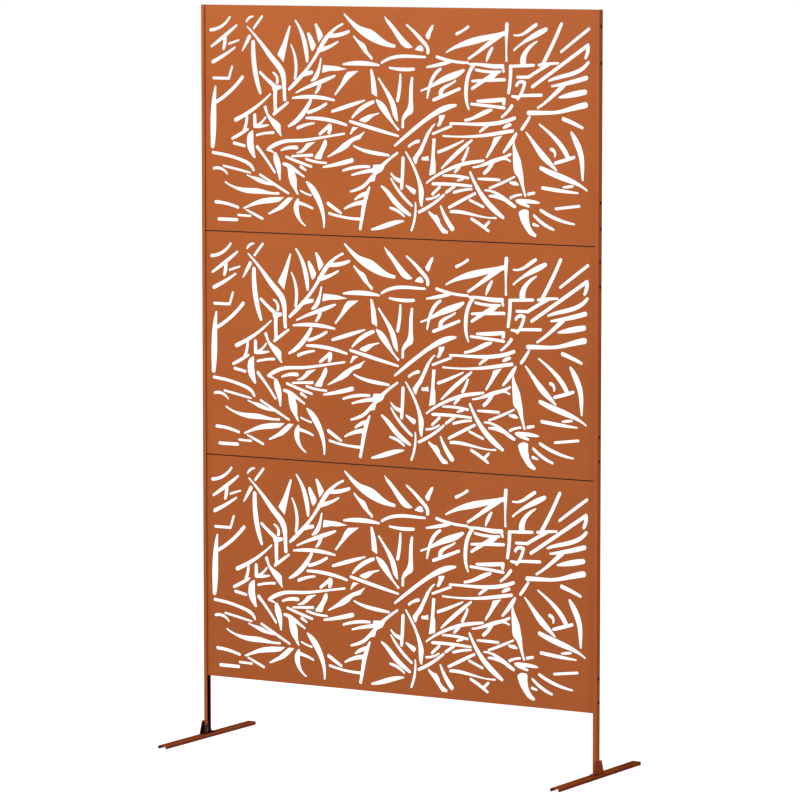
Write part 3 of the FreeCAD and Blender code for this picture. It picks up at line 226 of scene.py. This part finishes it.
def worn_edges(tree, place, coat, colour, rounded):
    """Pales the coat by edges times patches times the strength of wear."""
    patchy = noise(tree, place, patches_per_metre, detail=5.0, roughness=0.7)
    patches = mask(tree, patchy, start=0.40, end=0.66)
    thin = product(tree, edge_mask(tree, rounded), patches, wear_strength)
    pale = [channel * pale_gain + pale_lift for channel in colour]
    return blend_colours(tree, thin, coat, (*pale, 1))


print("edges look rounded to", coat_edge_radius, "metres")

# %% [markdown]
# ## Powder coat: a little dust
#
# A screen outdoors stands in dust and dried splashes, and they show most on
# the lowest few centimetres. Dust could be scattered as small meshes, but at
# this size it is only a change of colour and gloss. So one noise scatters it
# and the height above the floor fades it out.

# %% Dust near the floor
dust_height = 0.06
dust_spots_per_metre = 34.0
dust_strength = 0.16
dust_colour = (0.26, 0.12, 0.055)


def axes(tree, place):
    """The place's three coordinates as separate values."""
    node = tree.nodes.new("ShaderNodeSeparateXYZ")
    tree.links.new(place, node.inputs["Vector"])
    return node.outputs["X"], node.outputs["Y"], node.outputs["Z"]


def dust_amount(tree, place, z):
    """Lowness, from nought at the dust's height to one on the floor, times spots times strength."""
    spots = noise(tree, place, dust_spots_per_metre, detail=6.0, roughness=0.75)
    lowness = mask(tree, z, start=dust_height, end=0.0)
    return product(tree, lowness, mask(tree, spots, start=0.40, end=0.75), dust_strength)


print("dust reaches up to", dust_height, "metres")

# %% [markdown]
# ## Powder coat: satin gloss and orange peel
#
# The melted film is satin and has a very fine grain, like the peel of an
# orange, and a large thin sheet is never dead flat either. The real screen's
# side faces show nothing of the white sky, so the gloss fades out where a
# face is seen at a slant.
#
# The grain could be modelled, but it is a small part of a millimetre deep on
# a sheet more than a metre wide. Two Bump nodes tilt the normal instead, one
# for the sheet's slow waves and one for the grain.

# %% Gloss and grain
waves_per_metre = 3.2
peel_lumps_per_metre = 520.0
smoothest = 0.46
mottle_roughness = 0.16
dust_roughness = 0.8
gloss_level = 0.24


def satin_gloss(tree, shader, mottle, dust):
    """Roughness is the smoothest value plus the mottle's and the dust's shares.

    The specular level falls from its full value, where a face is seen squarely, to nought at a slant.
    """
    film = maths(tree, "MULTIPLY_ADD", mottle, mottle_roughness, smoothest)
    rough = maths(tree, "MULTIPLY_ADD", dust, dust_roughness, film)
    tree.links.new(rough, shader.inputs["Roughness"])
    slant = tree.nodes.new("ShaderNodeLayerWeight")
    slant.inputs["Blend"].default_value = 0.5
    squarely = mask(tree, slant.outputs["Facing"], start=0.58, end=0.22)
    tree.links.new(product(tree, squarely, gloss_level), shader.inputs["Specular IOR Level"])


def bumps(tree, height, distance, strength, normal):
    """Tilts the normal as if the surface rose and fell by height times distance, in metres."""
    node = tree.nodes.new("ShaderNodeBump")
    node.inputs["Distance"].default_value = distance
    node.inputs["Strength"].default_value = strength
    tree.links.new(height, node.inputs["Height"])
    tree.links.new(normal, node.inputs["Normal"])
    return node.outputs["Normal"]


def waves_and_peel(tree, shader, place, rounded):
    """Tilts the rounded normal first with the sheet's slow waves, then with the fine grain."""
    wave = noise(tree, place, waves_per_metre, detail=1.0)
    peel = noise(tree, place, peel_lumps_per_metre, detail=2.0)
    normal = bumps(tree, wave, distance=0.0016, strength=0.35, normal=rounded)
    normal = bumps(tree, peel, distance=0.00016, strength=0.55, normal=normal)
    tree.links.new(normal, shader.inputs["Normal"])


print("roughness from", smoothest, "to", smoothest + mottle_roughness, "without dust")

# %% [markdown]
# ## Painted shade: where it falls
#
# Some places on the real screen look almost black, because they lie in
# shade: the grooves between the panels, the insides of the legs and
# brackets, and the line where each bracket turns in over its foot. Here that
# shade, and the shadow of each bracket on its post, is painted into the coat.
# The feet's low sides are darker and redder.
#
# These places could be marked by painting weights on the mesh, but the mesh
# stays as it came. A place can also be described by its coordinates, as a
# product of masks, one for each direction that bounds it. The limits are
# measured on the model, so that they still fit if it changes. A box doesn't
# give the thickness of a sheet, so each one is written here.

# %% Measure the pieces that get painted shade
post_low, post_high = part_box("post_right")
foot_low, foot_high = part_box("foot_right")
panel_low, panel_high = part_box("panel_middle")
leg_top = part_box("panel_bottom")[0].z
bracket_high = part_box("bracket_right")[1]

panel_wall = 0.001
post_wall = 0.0012
bracket_wall = 0.002
foot_wall = 0.0015
print("post section:", round(post_high.x - post_low.x, 4), round(post_high.y - post_low.y, 4))
print("foot section:", round(foot_high.x - foot_low.x, 4), round(foot_high.z, 4))

# %% Painted shade on the panels and posts
seam_half_width = 0.0014
middle_band = 0.01
# Strength of the bracket's painted shadow on a post, on the left and on the right.
left_shadow_strength = 0.95
right_shadow_strength = 0.25


def painted_seam_shade(tree, x, y, z):
    """Painted shade: one in the two grooves at the front, where the bends of neighbouring panels meet."""
    lower = maths(tree, "ABSOLUTE", maths(tree, "SUBTRACT", z, panel_low.z))
    upper = maths(tree, "ABSOLUTE", maths(tree, "SUBTRACT", z, panel_high.z))
    nearest = maths(tree, "MINIMUM", lower, upper)
    near = mask(tree, nearest, start=seam_half_width * 1.2, end=seam_half_width * 0.9)
    in_front = mask(tree, y, start=panel_low.y + panel_wall * 1.6, end=panel_low.y + panel_wall * 1.1)
    return product(tree, near, in_front)


def painted_leg_shade(tree, x, y, z):
    """Painted shade: one on the inner faces of both legs, inside the channels."""
    across = maths(tree, "ABSOLUTE", x)
    web = mask(tree, across, start=post_high.x - post_wall * 0.6, end=post_high.x - post_wall * 0.95)
    deep = mask(tree, across, start=post_low.x, end=post_low.x + post_wall * 2.5)
    away = maths(tree, "ABSOLUTE", y)
    between = mask(tree, away, start=post_high.y - post_wall * 0.85, end=post_high.y - post_wall)
    below = mask(tree, z, start=leg_top + post_wall * 2, end=leg_top)
    return product(tree, deep, web, between, below)


def left_side(tree, x):
    """One on the left half of the screen and nought on the right half."""
    return mask(tree, x, start=middle_band, end=-middle_band)


def painted_bracket_shadow(tree, x, y, z):
    """Painted shadow of the bracket, rising down the last stretch of a post: faint on the right, strong on
    the left.
    """
    low = mask(tree, z, start=bracket_high.z + bracket_wall, end=foot_high.z + bracket_wall * 9)
    left_extra_shadow = left_shadow_strength - right_shadow_strength
    strength = maths(tree, "MULTIPLY_ADD", left_side(tree, x), left_extra_shadow, right_shadow_strength)
    return product(tree, low, strength)


print("grooves at heights:", round(panel_low.z, 4), round(panel_high.z, 4))

# %% Painted shade on the brackets and feet, and the feet's darker sides
def painted_bracket_shade(tree, x, y, z):
    """Painted shade: one on the upright inner faces of both brackets, and in all of the left one's fold."""
    across = maths(tree, "ABSOLUTE", x)
    outer = bracket_high.x
    inner = mask(tree, across, start=outer - bracket_wall * 0.9, end=outer - bracket_wall)
    upright = mask(tree, z, start=foot_high.z + bracket_wall * 2.4, end=foot_high.z + bracket_wall * 3)
    fold = mask(tree, z, start=foot_high.z + bracket_wall * 0.6, end=foot_high.z + bracket_wall * 0.9)
    shaded_fold = product(tree, fold, left_side(tree, x))
    return product(tree, inner, maths(tree, "MAXIMUM", upright, shaded_fold))


def painted_fold_shade(tree, x, y, z):
    """Painted shade: one along the bottom of the bracket's outer bend, where it turns in over the foot."""
    return mask(tree, z, start=foot_high.z + bracket_wall * 0.8, end=foot_high.z + bracket_wall * 0.3)


def painted_contact_shade(tree, x, y, z):
    """Painted shade: one on the strip of the foot's top under the bracket's outer bend."""
    away = maths(tree, "ABSOLUTE", y)
    along = mask(tree, away, start=bracket_high.y + bracket_wall, end=bracket_high.y - bracket_wall)
    across = maths(tree, "ABSOLUTE", x)
    outer = bracket_high.x
    near = mask(tree, across, start=outer - bracket_wall * 1.6, end=outer - bracket_wall * 0.8)
    far = mask(tree, across, start=outer + bracket_wall * 0.8, end=outer)
    top = mask(tree, z, start=foot_high.z - foot_wall, end=foot_high.z)
    return product(tree, along, top, near, far)


def foot_sides(tree, x, y, z):
    """One on the low sides of the feet, which are darker and redder."""
    return mask(tree, z, start=foot_high.z - foot_wall * 0.6, end=foot_high.z - foot_wall * 1.6)


print("brackets end at height:", round(bracket_high.z, 4))

# %% [markdown]
# ## The four coats
#
# Panels, posts, brackets and feet come from one paint, but they don't look
# quite alike: the panels and posts are the most orange, and the brackets and
# feet are darker and redder. On the feet this is partly painted shade. One
# material could serve them all, with masks for the differences. One function
# with four sets of values is easier to read, and each coat then carries only
# the painted shade and dark places of its own piece.

# %% Mix the coats
def powder_coat(name, colour, shade, dark_places):
    """Satin powder coat that drifts between colour and shade, with each dark place's tint, mostly painted
    shade, in its place.
    """
    material, tree, shader, place = new_material(name)
    x, y, z = axes(tree, place)
    mottle = noise(tree, place, mottle_lumps_per_metre, detail=3.0, roughness=0.6)
    rounded = rounded_normal(tree, coat_edge_radius)
    dust = dust_amount(tree, place, z)

    coat = drifting_tone(tree, place, colour, shade)
    coat = flecks(tree, place, coat, shade)
    coat = mottled(tree, coat, mottle)
    coat = worn_edges(tree, place, coat, colour, rounded)
    coat = blend_colours(tree, dust, coat, (*dust_colour, 1))
    for find_place, tint, strength in dark_places:
        amount = product(tree, find_place(tree, x, y, z), strength)
        coat = blend_colours(tree, amount, coat, (*tint, 1))

    tree.links.new(coat, shader.inputs["Base Color"])
    satin_gloss(tree, shader, mottle, dust)
    waves_and_peel(tree, shader, place, rounded)
    return material


# The first two tints are painted shade and painted shadow; the third darkens the feet's low sides.
shade_black = (0.010, 0.003, 0.002)
shadow_brown = (0.060, 0.014, 0.006)
side_red = (0.170, 0.020, 0.002)

# Each dark place is a place, a tint and how much of the tint covers the coat there. Most are painted shade.
panel_coat = powder_coat(
    "rust_panel_coat", colour=(0.470, 0.114, 0.021), shade=(0.430, 0.101, 0.018),
    dark_places=[(painted_seam_shade, shade_black, 1.0)])
post_coat = powder_coat(
    "rust_post_coat", colour=(0.475, 0.112, 0.020), shade=(0.425, 0.097, 0.017),
    dark_places=[(painted_leg_shade, shade_black, 1.0), (painted_bracket_shadow, shadow_brown, 1.0)])
bracket_coat = powder_coat(
    "rust_bracket_coat", colour=(0.360, 0.066, 0.012), shade=(0.300, 0.052, 0.009),
    dark_places=[(painted_bracket_shade, shade_black, 1.0), (painted_fold_shade, shade_black, 0.9)])
# The feet's coat is the same paint made darker and redder, partly as painted shade for the feet, which get
# less of the low light.
foot_coat = powder_coat(
    "rust_foot_coat", colour=(0.400, 0.076, 0.013), shade=(0.345, 0.062, 0.010),
    dark_places=[(foot_sides, side_red, 0.75), (painted_contact_shade, shade_black, 0.85)])
print("coats:", panel_coat.name, post_coat.name, bracket_coat.name, foot_coat.name)

# %% [markdown]
# ## Screws
#
# The screws on the posts read as small near-black dots, so they have a dark
# red-black finish that was baked on. A plain black material would do from
# afar. Close by a real screw shows uneven staining and rims that are rubbed a
# little paler, so one noise drives its colour, its gloss and a faint grain.

# %% Dark screws
screw_edge_radius = 0.0003
stains_per_metre = 420.0
screw_colour = (0.036, 0.003, 0.001)
screw_stain_colour = (0.070, 0.009, 0.003)
rubbed_colour = (0.20, 0.10, 0.07)
rubbed_strength = 0.3
screw_smoothest = 0.48
stain_roughness = 0.2


def dark_steel():
    """Baked red-black finish, matt, with a little pale wear on its rims."""
    material, tree, shader, place = new_material("dark_screw_finish")
    stain = noise(tree, place, stains_per_metre, detail=3.0)
    rounded = rounded_normal(tree, screw_edge_radius)
    stained = mask(tree, stain, start=0.35, end=0.7)
    body = blend_colours(tree, stained, (*screw_colour, 1), (*screw_stain_colour, 1))
    rubbed = product(tree, edge_mask(tree, rounded), mask(tree, stain, start=0.4, end=0.7), rubbed_strength)
    body = blend_colours(tree, rubbed, body, (*rubbed_colour, 1))
    tree.links.new(body, shader.inputs["Base Color"])
    shader.inputs["Specular IOR Level"].default_value = 0.06
    rough = maths(tree, "MULTIPLY_ADD", stain, stain_roughness, screw_smoothest)
    tree.links.new(rough, shader.inputs["Roughness"])
    normal = bumps(tree, stain, distance=0.00008, strength=0.4, normal=rounded)
    tree.links.new(normal, shader.inputs["Normal"])
    return material


screw_finish = dark_steel()
print("screw finish:", screw_finish.name)

# %% [markdown]
# ## Nuts
#
# The nuts sit inside the folds, where nobody paints them, and keep their
# plain zinc plate: a pale metal with small flat crystals. A grey metal with
# one tone would look like plastic in soft light. Voronoi cells make the
# crystals, and each cell's random value sets its tone and its gloss.

# %% Zinc-plated nuts
crystals_per_metre = 900.0
zinc_dark = (0.42, 0.43, 0.44)
zinc_pale = (0.60, 0.60, 0.59)
zinc_smoothest = 0.30
crystal_roughness = 0.15
nut_edge_radius = 0.0003


def zinc_plate():
    """Pale plated steel with small flat crystals that differ in tone and gloss."""
    material, tree, shader, place = new_material("zinc_nut_plate")
    crystal = tree.nodes.new("ShaderNodeTexVoronoi")
    crystal.inputs["Scale"].default_value = crystals_per_metre
    tree.links.new(place, crystal.inputs["Vector"])
    channels = tree.nodes.new("ShaderNodeSeparateColor")
    tree.links.new(crystal.outputs["Color"], channels.inputs["Color"])
    facet = channels.outputs["Red"]
    body = blend_colours(tree, facet, (*zinc_dark, 1), (*zinc_pale, 1))
    tree.links.new(body, shader.inputs["Base Color"])
    shader.inputs["Metallic"].default_value = 1.0
    rough = maths(tree, "MULTIPLY_ADD", facet, crystal_roughness, zinc_smoothest)
    tree.links.new(rough, shader.inputs["Roughness"])
    rounded = rounded_normal(tree, nut_edge_radius)
    normal = bumps(tree, facet, distance=0.00003, strength=0.3, normal=rounded)
    tree.links.new(normal, shader.inputs["Normal"])
    return material


nut_finish = zinc_plate()
print("nut finish:", nut_finish.name)

# %% [markdown]
# ## Dressing the pieces
#
# Each piece keeps its own mesh and only gets a new material in its slot. The
# materials could be picked by hand, piece by piece. But the start of a
# piece's name already says what it is, so a short list of starts does it,
# and it also fits pieces that are added later. The bolts that hold the
# brackets are painted with them, so they get the brackets' coat.

# %% Give every piece its finish
finishes = {
    "panel": panel_coat,
    "post": post_coat,
    "bracket": bracket_coat,
    "foot": foot_coat,
    "screws": screw_finish,
    "nuts": nut_finish,
    "bracket_bolts": bracket_coat,
    "bracket_nuts": nut_finish,
    "foot_bolts": bracket_coat,
    "foot_nuts": nut_finish,
}


def finish_for(name):
    """The finish whose key is the longest start of the piece's name."""
    fitting = [key for key in finishes if name.startswith(key)]
    return finishes[max(fitting, key=len)]


for name, piece in nodes.items():
    piece.data.materials.clear()
    piece.data.materials.append(finish_for(name))
print("dressed:", len(nodes), "pieces")

# %% [markdown]
# ## Floor
#
# The photograph is a cut-out on white. A floor that is simply white would
# need so much light that the screen washed out, so the floor and the sky
# only look white to the camera and to reflections, while the light that they
# give the screen stays plain. The floor keeps the soft shadow of the feet.

# %% A pale floor that keeps shadows
floor_half = 40.0
floor_height = -0.0004
floor_paleness = 0.80
floor_glow = 0.80


def plane(name, half, height):
    """A square sheet of four corners at one height: x and y run from minus half to half."""
    corners = np.array([(-1, -1), (1, -1), (1, 1), (-1, 1)]) * half
    points = np.column_stack([corners, np.full(len(corners), height)])
    mesh = bpy.data.meshes.new(name)
    mesh.from_pydata(points.tolist(), [], [(0, 1, 2, 3)])
    sheet = bpy.data.objects.new(name, mesh)
    bpy.context.scene.collection.objects.link(sheet)
    return sheet


def seen_directly(tree):
    """One for rays from the camera, from a mirror or through glass, and nought for light."""
    path = tree.nodes.new("ShaderNodeLightPath")
    outside = maths(tree, "MAXIMUM", path.outputs["Is Camera Ray"], path.outputs["Is Glossy Ray"])
    return maths(tree, "MAXIMUM", outside, path.outputs["Is Transmission Ray"])


def floor_paint():
    """Matt white that also glows for the eye alone, just enough to look like sunlit paper."""
    material = bpy.data.materials.new("pale_floor")
    material.use_nodes = True
    tree = material.node_tree
    tree.nodes.clear()
    output = tree.nodes.new("ShaderNodeOutputMaterial")
    matt = tree.nodes.new("ShaderNodeBsdfDiffuse")
    matt.inputs["Color"].default_value = (floor_paleness, floor_paleness, floor_paleness, 1)
    glow = tree.nodes.new("ShaderNodeEmission")
    tree.links.new(product(tree, seen_directly(tree), floor_glow), glow.inputs["Strength"])
    both = tree.nodes.new("ShaderNodeAddShader")
    tree.links.new(matt.outputs["BSDF"], both.inputs[0])
    tree.links.new(glow.outputs["Emission"], both.inputs[1])
    tree.links.new(both.outputs["Shader"], output.inputs["Surface"])
    return material


floor = plane("floor", floor_half, floor_height)
floor.data.materials.append(floor_paint())
print("floor:", floor.name)

# %% [markdown]
# ## Light
#
# The photograph's light is soft and even, with faint shading only. One
# picture of a studio, wrapped around the scene, could give such light, but
# lamps with one task each are easier to set. The key sun lights the front,
# the side sun the right post's outer side and the back sun the rear, and a
# softbox high in front makes the top a little brighter. A sun's angle is how
# wide it looks from the screen: the wider it is, the softer its shadows.

# %% Sky and lamps
sky_strength = 0.25
screen_middle = (0.0, 0.0, 1.0)
upper_middle = (0.0, 0.0, 1.6)


def white_sky(strength):
    """A world that is white to look at and gives an even light of its own strength."""
    world = bpy.data.worlds.new("white_sky")
    world.use_nodes = True
    tree = world.node_tree
    tree.nodes.clear()
    output = tree.nodes.new("ShaderNodeOutputWorld")
    sky = tree.nodes.new("ShaderNodeBackground")
    sky.inputs["Color"].default_value = (1, 1, 1, 1)
    level = tree.nodes.new("ShaderNodeMapRange")
    tree.links.new(seen_directly(tree), level.inputs["Value"])
    level.inputs["To Min"].default_value = strength
    level.inputs["To Max"].default_value = 1.0
    tree.links.new(level.outputs["Result"], sky.inputs["Strength"])
    tree.links.new(sky.outputs["Background"], output.inputs["Surface"])
    bpy.context.scene.world = world


def add_lamp(name, kind, place, aim, power):
    """A lamp of one kind at place that faces aim."""
    lamp = bpy.data.lights.new(name, kind)
    lamp.energy = power
    holder = bpy.data.objects.new(name, lamp)
    holder.location = place
    holder.rotation_euler = (Vector(aim) - Vector(place)).to_track_quat("-Z", "Y").to_euler()
    bpy.context.scene.collection.objects.link(holder)
    return lamp


def add_sun(name, place, strength, width_in_degrees):
    """A sun that shines from place towards the middle of the screen."""
    sun = add_lamp(name, "SUN", place, screen_middle, strength)
    sun.angle = math.radians(width_in_degrees)


white_sky(sky_strength)
add_sun("key_sun", place=(0.7, -8.5, 3.2), strength=0.60, width_in_degrees=15.0)
add_sun("side_sun", place=(8.0, -2.2, 2.2), strength=0.50, width_in_degrees=12.0)
add_sun("back_sun", place=(0.4, 9.5, 2.2), strength=1.40, width_in_degrees=20.0)
softbox = add_lamp("high_softbox", "AREA", place=(-0.7, -2.5, 3.4), aim=upper_middle, power=62.0)
softbox.shape = "RECTANGLE"
softbox.size = 2.4
softbox.size_y = 0.8
print("lamps:", [lamp.name for lamp in bpy.data.lights])

# %% [markdown]
# ## Camera
#
# The camera's place was found by matching the screen's corners in the
# photograph: it stands about twelve metres away to the right of the front,
# a little above eye height, looks slightly down, and uses a long lens. A
# camera that faced level, with its picture shifted down, would keep the
# posts dead parallel, but a shift pushes the screen out of other views.

# %% The photograph's camera
camera_place = Vector((6.248, -10.508, 2.236))
camera_turn = math.radians(30.70)
camera_drop = math.radians(6.03)

camera_data = bpy.data.cameras.new("camera")
camera_data.sensor_width = 36.0
camera_data.lens = 211.75
camera_data.clip_end = 200.0
camera = bpy.data.objects.new("camera", camera_data)
turn = Matrix.Rotation(camera_turn, 4, "Z") @ Matrix.Rotation(math.pi / 2 - camera_drop, 4, "X")
camera.matrix_world = Matrix.Translation(camera_place) @ turn
bpy.context.scene.collection.objects.link(camera)
bpy.context.scene.camera = camera
bpy.context.scene.view_settings.view_transform = "Standard"
print("camera distance:", round(camera_place.length, 2))
